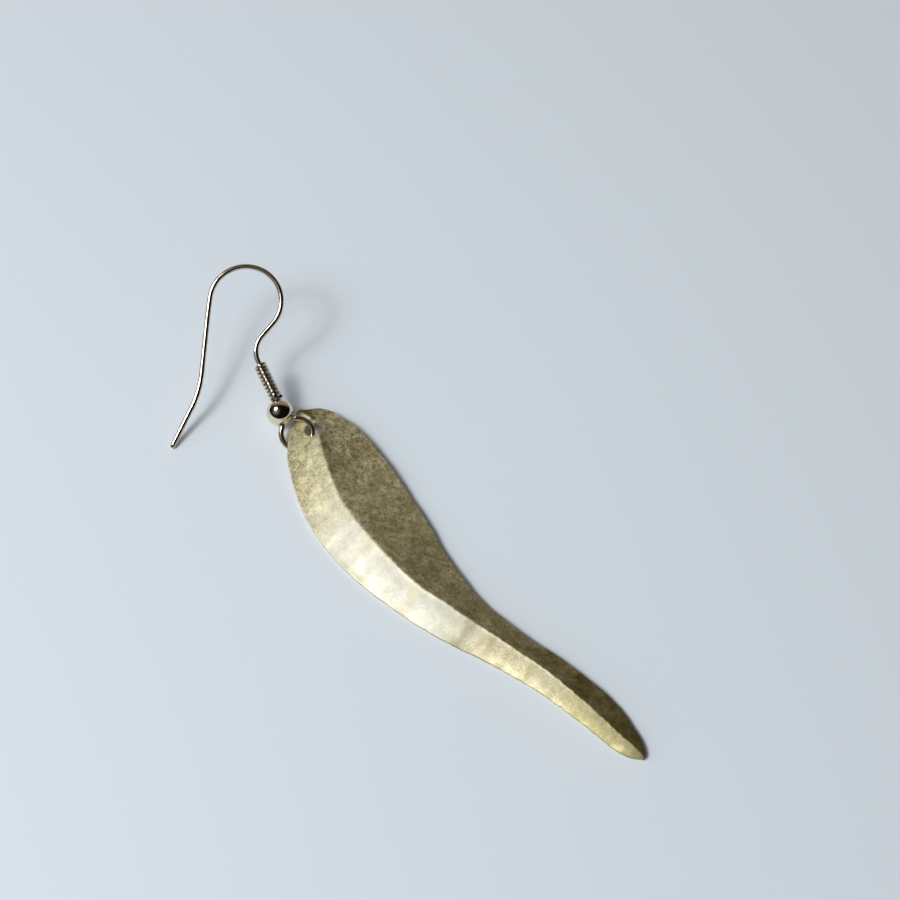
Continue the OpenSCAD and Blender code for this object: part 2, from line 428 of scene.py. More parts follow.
def makeEarWire():
    # The path is the bending table's. The tip is filed to a blunt cone, the cut end is rounded over, and
    # the radius is less by wander * waves along the wire.
    flat, ways, starts = bentPath(earWire["bends"], lie["tipHeading"], earWire["spacing"])
    radius, tipRadius = earWire["thickness"] / 2, earWire["tipRadius"]
    taper, sides = earWire["tipTaper"], earWire["sides"]
    filed = taper * np.array(earWire["filedAt"])
    tipPoints = flat[0] + (filed - taper)[:, None] * [math.cos(ways[0]), math.sin(ways[0])]
    path = np.pad(np.concatenate([tipPoints, flat]), ((0, 0), (0, 1)))
    ways = np.concatenate([np.full(len(filed), ways[0]), ways])
    lengths = alongPath(path)
    left = np.stack([-np.sin(ways), np.cos(ways), 0 * ways], axis=1)
    radii = tipRadius + (radius - tipRadius) * np.clip(lengths / taper, 0, 1)
    radii[0] *= earWire["tipBlunt"]
    radii *= roundedEnd(lengths[-1] - lengths, earWire["endRound"], earWire["endWidth"])
    radii -= earWire["wander"] * waves(lengths, earWire["wanderWaves"], 0.5)
    points, faces = closedTube(carryCircle(path, left, axisZ, radii, sides))
    gold = makeGold("earWireGold", earWire["look"])
    addPiece("earWire", onHook(points), faces, gold, "ear_hook",
             {"unbent": straightened(lengths, radii, sides)})
    return starts


rowStarts = makeEarWire()


def onRow(row, points):
    # From a row's own frame to its place on the hook: the row's start + x along its run + y to the left
    # of it + z out of the flat of the hook.
    (x, y), way = rowStarts[row]
    along = np.array([math.cos(way), math.sin(way), 0])
    left = np.array([-math.sin(way), math.cos(way), 0])
    flat = points[:, :1] * along + points[:, 1:2] * left + points[:, 2:] * axisZ
    return onHook(flat + [x, y, 0])


# Coil: fine wire wound round the shank.
coil = {
    "row": 4,
    "start": 0.45,
    "wire": 0.4,
    "middleRadius": 0.56,
    "pitch": 0.46,
    "turns": 9.0,
    "sides": 14,
    "stepsPerTurn": 44,
    "endRound": 0.08,
    "endWidth": 0.75,
    "wobble": ((0.012, 0.37, 1.1), (0.008, 1.31, 0.0)),  # of the turns: size, speed round the shank, start
    "look": {
        "clean": (0.80, 0.69, 0.53), "dull": (0.46, 0.37, 0.26), "roughness": 0.1, "roughnessDull": 0.22,
        "cloudsPerMm": 0.7, "dullShare": 0.4, "grainPerMm": 16.0, "drawLength": 18.0, "drawShare": 0.8,
        "grainDepth": 0.0015, "pitDepth": 0.1,
        "grooveShade": (0.16, 0.12, 0.10), "grooveShadeEdge": (0.05, 0.17),  # painted shade between the turns, on their inner side
    },
}


def makeCoil():
    # Helix: (pitch * turn + wobble, radius * cos, radius * sin). Each ring stands across the helix.
    angle = np.linspace(0, coil["turns"] * 2 * math.pi, int(coil["turns"] * coil["stepsPerTurn"]) + 1)
    radius, rise = coil["middleRadius"], coil["pitch"] / (2 * math.pi)
    cosine, sine = np.cos(angle), np.sin(angle)
    path = np.stack([rise * angle + waves(angle, coil["wobble"]), radius * cosine, radius * sine], axis=1)
    ahead = np.stack([np.full_like(angle, rise), -radius * sine, radius * cosine], axis=1)
    ahead /= np.linalg.norm(ahead, axis=1, keepdims=True)
    outward = np.stack([0 * angle, cosine, sine], axis=1)
    lengths = alongPath(path)
    nearestEnd = np.minimum(lengths, lengths[-1] - lengths)
    radii = coil["wire"] / 2 * roundedEnd(nearestEnd, coil["endRound"], coil["endWidth"])
    points, faces = closedTube(carryCircle(path, outward, np.cross(ahead, outward), radii, coil["sides"]))
    addPiece("woundCoil", onRow(coil["row"], points + [coil["start"], 0, 0]), faces,
             makeGold("coilGold", coil["look"]), "wire_coil",
             {"unbent": straightened(lengths, radii, coil["sides"])})


makeCoil()

# Bead: polished, drilled through, with the edges of its hole rounded over.
bead = {
    "row": 5,
    "at": 1.12,
    "radius": 1.5,
    "boreRadius": 0.45,
    "lip": 0.06,
    "profileSteps": 60,
    "lipSteps": 6,
    "wallSteps": 8,
    "sides": 96,
    "look": {
        "clean": (0.86, 0.77, 0.60), "dull": (0.74, 0.65, 0.48), "roughness": 0.055, "roughnessDull": 0.1,
        "cloudsPerMm": 0.6, "dullShare": 0.4, "grainPerMm": 9.0, "drawLength": 3.0, "drawShare": 0.5,
        "grainDepth": 0.0011, "pitDepth": 0.15,
    },
}


def makeBead():
    # Profile of the ball, a small quarter round at each mouth and the wall of the bore, turned about X.
    radius, lipRadius = bead["radius"], bead["boreRadius"] + bead["lip"]
    mouth = math.asin(lipRadius / radius)
    arc = np.linspace(mouth, math.pi - mouth, bead["profileSteps"])
    ball = np.stack([-radius * np.cos(arc), radius * np.sin(arc)], axis=1)
    bend = np.linspace(0, math.pi / 2, bead["lipSteps"])[1:]
    lipX = radius * math.cos(mouth) - bead["lip"] * (1 - np.cos(bend))
    lip = np.stack([lipX, lipRadius - bead["lip"] * np.sin(bend)], axis=1)
    wallX = np.linspace(lipX[-1], -lipX[-1], bead["wallSteps"])[1:-1]
    wall = np.stack([wallX, np.full_like(wallX, bead["boreRadius"])], axis=1)
    profile = np.concatenate([ball, lip, wall, lip[::-1] * [-1, 1]])
    grid = carryCircle(profile[:, :1] * axisX, axisY, axisZ, profile[:, 1], bead["sides"])
    faces = [gridQuads(*grid.shape[:2], wrapRows=True, wrapColumns=True)[:, ::-1]]
    points = grid.reshape(-1, 3)
    addPiece("drilledBead", onRow(bead["row"], points + [bead["at"], 0, 0]), faces,
             makeGold("beadGold", bead["look"]), "ball_bead", {"unbent": points})


makeBead()

# Leaf: hammered sheet, folded along a crease, with a hole in its head.
leaf = {
    "columns": ("along", "left", "right", "crease", "leftHeight", "rightHeight", "creaseHeight"),
    "sections": [  # along is the distance from the head end
        (0, 1.3, 1.9, 1.6, 0.88, 0.88, 0.88),
        (0.4, 0.8, 2.75, 1.7, 0.92, 0.92, 1),
        (1, 0, 3.7, 1.85, 1, 0.97, 1.1),
        (2, -1.1, 4.4, 2.1, 1.2, 1.05, 1.32),
        (3.2, -2.3, 4.8, 2.1, 1.4, 1.1, 1.66),
        (5, -3.6, 5.2, 1.2, 1.35, 1.1, 2.1),
        (7.5, -4.7, 5.4, 0, 0.8, 0.95, 2.3),
        (11, -5.9, 5.2, -1.4, 0.45, 0.8, 2.45),
        (15, -6.6, 4.7, -2.5, 0.39, 0.68, 2.6),
        (20, -6.7, 3.9, -2.9, 0.37, 0.6, 2.75),
        (26, -5.8, 2.7, -2.7, 0.37, 0.56, 2.65),
        (32, -4.2, 2.3, -1.2, 0.37, 0.54, 2.4),
        (38, -1.9, 3.2, 0.4, 0.37, 0.54, 2.15),
        (44, 0, 4.6, 1.8, 0.37, 0.52, 2),
        (50, 1.2, 5.4, 2.55, 0.37, 0.5, 1.8),
        (53.5, 1.7, 5, 2.95, 0.37, 0.5, 1.5),
        (55.5, 2.3, 4.5, 3.3, 0.38, 0.5, 1.15),
        (56.5, 3.1, 4, 3.5, 0.4, 0.48, 0.7),
        (56.8, 3.4, 3.7, 3.5, 0.4, 0.4, 0.4),
    ],
    "fineRows": 6000,  # how finely the table is read
    "sheet": 0.4,
    "creaseRound": 0.1,
    "hollow": 0.4,
    "holeAt": (1.22, 3.33),  # to the side, and from the head end
    "holeRadius": 1.0,
    "holeReach": 1.5,  # half the patch round the hole
    "holeRings": 7,
    "rowSpacing": 0.19,
    "faceColumns": 34,
    "crowding": 1.25,  # above 1, columns are denser at the crease
    "edgeRound": 0.07,
    "edgeSteps": (0.0, 0.12, 0.3, 0.6, 1.0),  # shares of it where it has rows
    "edgeMost": 0.4,  # the most of a narrow face that it takes
    "edgeWander": 0.05,
    "endCalm": 3.0,  # distance from an end over which the wander starts
    "leftWaves": ((0.3, 2.3, 0.0), (0.2, 5.1, 2.0)),  # size, speed along the leaf and start
    "rightWaves": ((0.3, 1.9, 1.0), (0.2, 4.3, 0.0)),
    "creaseWaves": ((0.45, 3.1), (0.55, 7.3), (1.6, 0.7)),  # slow, quick, and what sways the slow one
    "creaseWander": (0.03, 0.05, 0.4),  # at the head and at the tail, and how far to its sides it shows
    "wanderGrows": (20.0, 40.0),  # distances between which it grows
    # where the crease is moved, by how much, and how far to its sides it shows
    "creaseMoved": ((0.0, 3.0, 6.0, 12.0, 18.0), (0.0, -0.3, -0.42, -0.3, 0.0), 1.3),
    "lift": (0.25, 4.0, 9.0, 44.0, 54.0),  # the right edge's, and where it starts, is full, fades and ends
    "lip": (0.06, 0.17, 0.13),  # burr round the hole: height, distance from it and width
    # ridges on the crease at the head: height, half width, and where each starts, is full, fades and ends
    "headRidges": [
        (0.42, 0.5, -1.0, -0.5, 1.5, 2.5),
        (0.36, 1.15, 1.5, 4.5, 7.0, 15.0),
    ],
    "ridgeFree": (2.0, 0.8),  # past this distance they sink at the hole, over this width
    # slow swell of the sheet: size, speed along the leaf and across it, and start
    "swell": ((0.035, 0.9, 0.5, 0.0), (0.025, -0.6, 1.7, 1.0)),
    "holeCalm": 1.5,  # distance from the hole over which the marks start
    "headCalm": 4.0,  # and from the head end
    "dishBelow": 0.5,  # share of a mark that shows underneath
    "rimWidth": 0.09,
    "highlightAlong": (7.0, 19.0, 30.0, 40.0),  # where the painted highlight on the left face starts, is full, fades and ends
    "faceBlend": 0.05,  # distance over which one face's wear goes over into the other's
    # painted shade: how much darker the left and the right face are at each distance along
    "paintedShadeAlong": (0.3, 1.6, 12.0, 22.0, 28.0, 34.0, 40.0, 48.0, 56.0),
    "paintedShadeLeft": (0.7, 0.0, 0.02, 0.1, 0.1, 0.45, 0.12, 0.12, 0.5),
    "paintedShadeRight": (0.85, 0.2, 0.17, 0.34, 0.44, 0.5, 0.66, 0.85, 1.0),
    # painted shade on the right of the crease: how dark, how wide, how far it goes, and how it fades
    "creaseShade": (0.45, 0.9, 16.0, 8.0),
    "highlightStrips": ((0.35, 1.3, 8.0, 4.0), (0.95, 0.55, 6.0, 4.0)),  # painted highlight strips on the left, in the same way
    "highlightRim": (0.8, 0.1, 0.13),  # painted highlight ring round the hole, in the same way as the burr
    "seed": 11,
    # hammer blows: face, from, to, spacing along, width and reach of one blow, and its depth
    "blows": [
        ("left", 4.5, 33.0, 2.0, 2.7, 1.5, 0.1),
        ("left", 33.0, 56.0, 1.6, 3.2, 1.2, 0.11),
        ("right", 4.0, 33.0, 2.6, 2.6, 1.8, 0.035),
        ("right", 33.0, 55.5, 1.9, 3.0, 1.3, 0.03),
    ],
    "blowShift": (0.06, 0.16),  # by chance, as a share of the face and of the spacing
    # least and most of each blow's reach, half width and depth, as shares
    "blowReach": (0.85, 1.15), "blowWidth": (0.62, 0.8), "blowDepth": (0.5, 1.2),
    "blowGrowth": (0.4, 40.0),  # share of the depth at the head end, and distance that adds a whole one
    "look": {
        "clean": (0.95, 0.83, 0.52), "dull": (0.79, 0.67, 0.385), "edge": (0.85, 0.73, 0.47),
        # a pale painted highlight, the colour of the marks, and a dark painted shade
        "paintedHighlight": (0.93, 0.875, 0.725), "struckColour": (0.95, 0.84, 0.58), "paintedShade": (0.26, 0.23, 0.13),
        "tail": (0.985, 0.985, 0.81), "tailEdge": (-30.0, -24.0),  # tint at the tail, by the leaf's Y
        "roughness": 0.58, "roughnessDull": 0.64, "roughnessEdge": 0.45,
        "roughnessHighlighted": 0.045, "roughnessStruck": -0.05,  # more under the painted highlight, less in the marks
        "rimEdge": (0.3, 0.9), "grainTurn": 35.0,
        "cloudsPerMm": 0.5, "dullShare": 0.5, "grainPerMm": 7.0, "drawLength": 4.0, "drawShare": 0.45,
        "grainDepth": 0.048, "pitDepth": 0.3, "speckHeight": 0.35,
        "specksPerMm": 8.0, "speckDepth": 0.3, "speckOlive": 1.4, "blotchesPerMm": 1.7, "blotchDepth": 0.2,
        "headLively": 2.5, "tailCalm": 0.5,  # shares of the specks at the head and at the tail
        "livelyEdge": (0.0, 36.0),  # and the leaf's Y where they are reached
        "rightLively": 0.7,  # what the right face has more
        "highlightLively": -0.5,  # and what is left out under the painted highlight
        "rightClouds": 0.26,  # what the dull clouds darken the right face more
        "struck": 0.6,  # share of the struck colour in the left face's hammer marks
        "struckEdge": (0.08, 0.6),  # depths of a mark, as shares of the deepest
        "betweenDishes": 0.62,  # share of the painted highlight between the marks
        "dishEdge": (0.0, 0.45),
    },
}


def sectionAt(count):
    # Smooth curve through each column of the table: a cubic from row b to row c, whose slopes there are
    # (c - a) / 2 and (d - b) / 2.
    table = np.array(leaf["sections"], dtype=float)
    padded = np.vstack([2 * table[0] - table[1], table, 2 * table[-1] - table[-2]])
    i = np.clip(np.floor(count).astype(int), 0, len(table) - 2)
    t = (count - i)[:, None]
    a, b, c, d = padded[i], padded[i + 1], padded[i + 2], padded[i + 3]
    return b + t * ((c - a) / 2 + t * ((a - 2.5 * b + 2 * c - d / 2) + t * (1.5 * (b - c) + (d - a) / 2)))


fineSections = sectionAt(np.linspace(0, len(leaf["sections"]) - 1, leaf["fineRows"]))
leafLength = leaf["sections"][-1][0]


def column(name, along):
    # A column of the table at a distance along, on a straight line between two fine rows.
    return np.interp(along, fineSections[:, 0], fineSections[:, leaf["columns"].index(name)])


def creaseShift(along):
    # How far the crease wanders sideways: size * (slow sine, swayed by another one, + quick sine).
    atHead, atTail, _ = leaf["creaseWander"]
    growsFrom, growsTo = leaf["wanderGrows"]
    size = atHead + (atTail - atHead) * np.clip((along - growsFrom) / (growsTo - growsFrom), 0, 1)
    (slowSize, slow), (quickSize, quick), (swaySize, sway) = leaf["creaseWaves"]
    swayed = slow * along + swaySize * np.sin(sway * along)
    return size * (slowSize * np.sin(swayed) + quickSize * np.sin(quick * along))


def creaseMove(along):
    # How far the crease is moved beside the table's, read between the given distances.
    distances, moves, _ = leaf["creaseMoved"]
    return np.interp(along, distances, moves)


def outline(along):
    # Left edge, right edge and crease at a distance along the leaf. The edges are pulled in by
    # wander * waves, and the crease is moved and wanders to either side.
    calm = np.clip(np.minimum(along, leafLength - along) / leaf["endCalm"], 0, 1)
    pull = leaf["edgeWander"] * calm
    crease = column("crease", along) + calm * creaseShift(along) + creaseMove(along)
    left = column("left", along) + pull * waves(along, leaf["leftWaves"], 0.5)
    right = column("right", along) - pull * waves(along, leaf["rightWaves"], 0.5)
    return left, right, crease


def fromEdge(along, x):
    # Distance to an end or an edge, which is the sideways distance times the cosine of its slant.
    step = 0.05
    (left, right, _), ahead, behind = outline(along), outline(along + step), outline(along - step)
    leftSlant, rightSlant = ((ahead[side] - behind[side]) / (2 * step) for side in (0, 1))
    sideways = np.minimum((x - left) / np.hypot(1, leftSlant), (right - x) / np.hypot(1, rightSlant))
    return np.clip(np.minimum(sideways, np.minimum(along, leafLength - along)), 0, None)


def fromHole(along, x):
    # Distance to the hole's edge: the distance to its middle less its radius.
    return np.hypot(x - leaf["holeAt"][0], along - leaf["holeAt"][1]) - leaf["holeRadius"]


def foldHeight(along, x):
    # Height and sideways slope of the fold: crest - (crest - edge) * fall. The fall is the share of the
    # way from the crease to the edge, rounded at the crease, times 1 + hollow * (1 - share).
    left, right, crease = column("left", along), column("right", along), column("crease", along)
    moved = crease + creaseMove(along)
    x = x - np.exp(-((x - moved) / leaf["creaseMoved"][2]) ** 2) * (moved - crease)
    nearCrease = np.exp(-((x - crease) / leaf["creaseWander"][2]) ** 2)
    x = x - nearCrease * (outline(along)[2] - moved)
    onRight = x >= crease
    half = np.where(onRight, right - crease, crease - left)
    crest = column("creaseHeight", along)
    drop = crest - np.where(onRight, column("rightHeight", along), column("leftHeight", along))
    share, r = np.abs(x - crease) / half, leaf["creaseRound"]
    scale = math.hypot(1, r) - r
    fallen, hollow = (np.hypot(share, r) - r) / scale, leaf["hollow"]
    height = crest - drop * fallen * (1 + hollow * (1 - fallen))
    steepness = share / np.hypot(share, r) / scale * (1 + hollow - 2 * hollow * fallen)
    slope = np.where(onRight, -1, 1) * drop * steepness / half
    return height, slope


def hammerBlows():
    # Middle, reach, half width and depth of each blow, in rows across each face, shifted by chance.
    dice = np.random.default_rng(leaf["seed"])
    acrossShift, alongShift = leaf["blowShift"]
    headShare, growth = leaf["blowGrowth"]
    blows = []
    for side, start, end, spacing, width, reach, depth in leaf["blows"]:
        for along in np.arange(start, end, spacing):
            crease = column("crease", along)
            face = column(side, along) - crease
            count = max(1, round(abs(face) / width))
            place = (np.arange(count) + 0.5) / count + dice.normal(0, acrossShift, count)
            blows.append(np.stack([
                along + dice.normal(0, alongShift, count) * spacing,
                crease + face * place,
                np.full(count, reach) * dice.uniform(*leaf["blowReach"], count),
                abs(face) / count * dice.uniform(*leaf["blowWidth"], count),
                depth * dice.uniform(*leaf["blowDepth"], count) * np.clip(headShare + along / growth, 0, 1),
            ], axis=1))
    return np.concatenate(blows)


blows = hammerBlows()


def hammered(along, x):
    # Each blow is a dish, depth * (1 - squared distance). Where dishes meet, the deepest one wins.
    middle, across, reach, halfWidth, depth = blows.T
    u, v = (along[:, None] - middle) / reach, (x[:, None] - across) / halfWidth
    return (depth * np.clip(1 - u * u - v * v, 0, None)).max(axis=1)


def leafHeights(along, x):
    # Upper and under surface: fold + lift + swell - marks + lip + ridges, rounded at the edges and the
    # hole. Then exp(-distance to the edge / rimWidth), and the marks as shares of the deepest one.
    height, slope = foldHeight(along, x)
    dish, holeAway, crease = hammered(along, x), fromHole(along, x), column("crease", along)
    swell = sum(size * np.sin(lengthwise * along + sideways * x + start)
                for size, lengthwise, sideways, start in leaf["swell"])
    calm = np.clip(holeAway / leaf["holeCalm"], 0, 1) * np.clip(along / leaf["headCalm"], 0, 1)
    nearest = np.minimum(fromEdge(along, x), np.clip(holeAway, 0, None))
    r = leaf["edgeRound"]
    rounding = r - np.sqrt(r * r - (r - np.minimum(nearest, r)) ** 2)
    lipHeight, lipAway, lipWidth = leaf["lip"]
    lip = lipHeight * np.exp(-((holeAway - lipAway) / lipWidth) ** 2)
    ridge = 0
    for high, halfWidth, *reach in leaf["headRidges"]:
        beside = (x - crease - creaseMove(along)) / halfWidth
        ridge += high * np.exp(-beside ** 2) * eased(np.interp(along, reach, [0, 1, 1, 0]))
    freeTo, sinking = leaf["ridgeFree"]
    ridge = ridge * np.where(along < freeTo, 1, np.clip(holeAway / sinking, 0, 1))
    lift, *lifted = leaf["lift"]
    toRight = np.clip((x - crease) / (column("right", along) - crease), 0, 1)
    height += lift * np.interp(along, lifted, [0, 1, 1, 0]) * toRight ** 2
    top = height + calm * (swell - dish) + lip + ridge
    thick = leaf["sheet"] / np.hypot(1, slope)
    upper = np.stack([x, -along, top - rounding], axis=1)
    underside = top - lip - ridge + leaf["dishBelow"] * calm * dish - thick + rounding
    lower = np.stack([x + slope * thick * (nearest > 0), -along, underside], axis=1)
    return upper, lower, np.exp(-nearest / leaf["rimWidth"]), dish / blows[:, -1].max()


def paintedLight(along, x):
    # Painted highlight, pale on the left face's middle, and painted shade, darker towards the tail, most on
    # the right face.
    # A strip beside the crease is strength * exp(-(distance / width) squared), and fades at its end.
    fromCrease = x - outline(along)[2]
    onRight = 1 / (1 + np.exp(-fromCrease / leaf["faceBlend"]))
    paintedHighlight = eased(np.interp(along, leaf["highlightAlong"], [0, 1, 1, 0])) * (1 - onRight)
    paintedShade = np.interp(along, leaf["paintedShadeAlong"], leaf["paintedShadeLeft"]) * (1 - onRight)
    paintedShade += np.interp(along, leaf["paintedShadeAlong"], leaf["paintedShadeRight"]) * onRight

    def strip(strength, width, end, fading):
        return strength * np.exp(-(fromCrease / width) ** 2) * np.clip((end - along) / fading, 0, 1)

    paintedShade += onRight * strip(*leaf["creaseShade"])
    for highlightStrips in leaf["highlightStrips"]:
        paintedHighlight = np.maximum(paintedHighlight, (1 - onRight) * strip(*highlightStrips))
    bright, away, width = leaf["highlightRim"]
    paintedHighlight = np.maximum(paintedHighlight, bright * np.exp(-((fromHole(along, x) - away) / width) ** 2))
    return paintedHighlight, np.clip(paintedShade, 0, 1), onRight


def leafGrid():
    # Rows across the leaf, dense at its ends, with columns dense at its edges and at the crease:
    # x = crease + half * share to a power, less the inset of the rounded edge.
    spacing, r = leaf["rowSpacing"], leaf["edgeRound"]
    edgeSteps = r * np.array(leaf["edgeSteps"])
    inner = np.arange(r + spacing / 2, leafLength - r - spacing / 3, spacing)
    rows = np.concatenate([edgeSteps, inner, leafLength - edgeSteps[::-1]])
    left, right, crease = outline(rows)
    share = np.linspace(0, 1, leaf["faceColumns"]) ** leaf["crowding"]
    halves = []
    for edge in (left, right):
        half, slant = np.abs(edge - crease), np.hypot(1, np.gradient(edge, rows))
        inset = edgeSteps[None, ::-1] * np.minimum(slant, leaf["edgeMost"] * half / r)[:, None]
        between = share[None, :-1] * (half - inset[:, 0])[:, None]
        halves.append(np.concatenate([between, half[:, None] - inset], axis=1))
    x = crease[:, None] + np.concatenate([-halves[0][:, :0:-1], halves[1]], axis=1)
    print(f"leaf grid: {x.shape[0]} rows of {x.shape[1]}")
    return x, np.broadcast_to(rows[:, None], x.shape), edgeSteps


def holeCut(x, along):
    # The grid's points by number: the frame of the patch round the hole, which ones stay, and all.
    holeX, holeAlong = leaf["holeAt"]
    reach, rows = leaf["holeReach"], along[:, 0]
    across = x[np.abs(rows - holeAlong).argmin()]
    top, bottom = np.searchsorted(rows, (holeAlong - reach, holeAlong + reach))
    first, last = np.searchsorted(across, (holeX - reach, holeX + reach))
    number = np.arange(x.size).reshape(x.shape)
    rim = np.concatenate([number[top, first:last], number[top:bottom, last],
                          number[bottom, last:first:-1], number[bottom:top:-1, first]])
    kept = np.ones(x.shape, bool)
    kept[top + 1:bottom, first + 1:last] = False
    return rim, kept.ravel(), number


def makeLeaf():
    # The grid is cut out round the hole, and rings from a circle to the cut take its place: centre +
    # distance * direction. The under surface has the same points.
    x, along, edgeSteps = leafGrid()
    rim, kept, number = holeCut(x, along)
    x, along, gridShape = x.ravel(), along.ravel(), x.shape
    spokes = np.stack([x[rim], along[rim]], axis=1) - leaf["holeAt"]
    spokeLength = np.hypot(spokes[:, 0], spokes[:, 1])
    firstRings = leaf["holeRadius"] + edgeSteps
    share = np.linspace(0, 1, leaf["holeRings"])[1:-1]
    distances = np.concatenate([
        np.broadcast_to(firstRings[:, None], (len(firstRings), len(rim))),
        firstRings[-1] + share[:, None] * (spokeLength - firstRings[-1])[None]])
    rings = leaf["holeAt"] + distances[:, :, None] * (spokes / spokeLength[:, None])[None]

    quads = gridQuads(*gridShape)
    quads = quads[kept[quads].all(axis=1) & ~np.isin(quads, rim).all(axis=1)]
    newNumber = np.cumsum(kept) - 1
    allX = np.concatenate([x[kept], rings[:, :, 0].ravel()])
    allAlong = np.concatenate([along[kept], rings[:, :, 1].ravel()])
    ringNumber = kept.sum() + np.arange(distances.size).reshape(distances.shape)
    ringNumber = np.vstack([ringNumber, newNumber[rim]])
    patch = ringNumber.ravel()[gridQuads(*ringNumber.shape, wrapColumns=True)]
    top = np.concatenate([newNumber[quads], patch])
    plan = np.stack([allX, -allAlong], axis=1)
    diagonal, other = plan[top[:, 2]] - plan[top[:, 0]], plan[top[:, 3]] - plan[top[:, 1]]
    facesDown = diagonal[:, 0] * other[:, 1] - diagonal[:, 1] * other[:, 0] < 0
    top[facesDown] = top[facesDown][:, ::-1]

    below = len(allX)
    edge = np.concatenate([number[0, :-1], number[:-1, -1], number[-1, :0:-1], number[:0:-1, 0]])
    walls = [np.stack([loop, loop + below, np.roll(loop, -1) + below, np.roll(loop, -1)], axis=1)
             for loop in (newNumber[edge][::-1], ringNumber[0])]
    upper, lower, nearEdge, dish = leafHeights(allAlong, allX)
    points = np.concatenate([upper, lower])
    points[:, 2] = np.maximum(points[:, 2], 0)
    points -= [*lie["middle"], 0]
    paintedHighlight, paintedShade, onRight = paintedLight(allAlong, allX)
    attributes = {"nearEdge": np.tile(nearEdge, 2), "paintedShade": np.tile(paintedShade, 2)}
    for name, values in (("dish", dish), ("paintedHighlight", paintedHighlight), ("onRight", onRight)):
        attributes[name] = np.concatenate([values, 0 * values])
    faces = [top, top[:, ::-1] + below, *walls]
    addPiece("hammeredLeaf", points, faces, makeLeafBrass(), "leaf", attributes)


def makeLeafBrass():
    # Colour is the worn brass with its layers, a painted highlight and a painted shade among them, mixed in
    # or multiplied one after the other. Bump = (grain + specks) * how lively the place is.
    look = leaf["look"]
    material, tree, shader = newMaterial("leafBrass", 1.0, look["roughness"])
    place = addNode(tree, "TexCoord").outputs["Object"]
    turn = (0, 0, math.radians(look["grainTurn"]))
    turned = addNode(tree, "Mapping", {
        "Vector": place, "Rotation": turn, "Scale": (1 / mm, 1 / mm, 1 / mm)}).outputs[0]
    worn, grain, rough = addWear(tree, turned, look)
    nearEdge, dish, onRight, paintedHighlight, paintedShade = (
        attribute(tree, name) for name in ("nearEdge", "dish", "onRight", "paintedHighlight", "paintedShade"))
    onLeft = calculate(tree, "SUBTRACT", 1.0, onRight)
    lengthwise = multiplied(tree, oneAxis(tree, place, "Y"), 1 / mm)
    rim = stepped(tree, nearEdge, *look["rimEdge"])

    lively = stepped(tree, lengthwise, *look["livelyEdge"], look["tailCalm"], look["headLively"])
    lively = calculate(tree, "MULTIPLY_ADD", onRight, look["rightLively"], lively)
    lively = multiplied(tree, lively, calculate(tree, "MULTIPLY_ADD", paintedHighlight, look["highlightLively"], 1.0))
    spots = addNode(tree, "Group", node_tree=speckle, inputs={
        "Vector": turned, "Specks Per Length": look["specksPerMm"],
        "Speck Depth": multiplied(tree, lively, look["speckDepth"]),
        "Blotches Per Length": look["blotchesPerMm"],
        "Blotch Depth": multiplied(tree, lively, look["blotchDepth"])}).outputs
    tone = spots["Tone"]
    tones = combined(tree, tone, tone, calculate(tree, "POWER", tone, look["speckOlive"]))

    inMarks = stepped(tree, dish, *look["struckEdge"], 0.0, look["struck"])
    onMarks = stepped(tree, dish, *look["dishEdge"], look["betweenDishes"], 1.0)
    atTail = stepped(tree, lengthwise, *look["tailEdge"], 1.0, 0.0)
    cloudy = multiplied(tree, worn["Mask"], onRight, look["rightClouds"])
    layers = [
        (rim, look["edge"], "MIX"),
        (multiplied(tree, inMarks, onLeft), look["struckColour"], "MIX"),
        # painted highlight on the left face, on lit facets and round the hole
        (multiplied(tree, paintedHighlight, onMarks), look["paintedHighlight"], "MIX"),
        (multiplied(tree, atTail, onLeft), look["tail"], "MULTIPLY"),
        # painted shade, with the dull clouds darkening the right face more
        (calculate(tree, "ADD", paintedShade, cloudy), look["paintedShade"], "MULTIPLY"),
        (1.0, tones, "MULTIPLY"),
    ]
    metal = worn["Colour"]
    for share, colour, blend in layers:
        metal = mixColours(tree, share, metal, colour, blend)
    tree.links.new(metal, shader.inputs["Base Color"])
    rough = calculate(tree, "MULTIPLY_ADD", paintedHighlight, look["roughnessHighlighted"], rough)
    rough = calculate(tree, "MULTIPLY_ADD", dish, look["roughnessStruck"], rough)
    tree.links.new(mixValues(tree, rim, rough, look["roughnessEdge"]), shader.inputs["Roughness"])
    pitted = calculate(tree, "MULTIPLY_ADD", spots["Specks"], look["speckHeight"], grain["Height"])
    addBump(tree, shader, multiplied(tree, pitted, lively), look["grainDepth"])
    return material


makeLeaf()

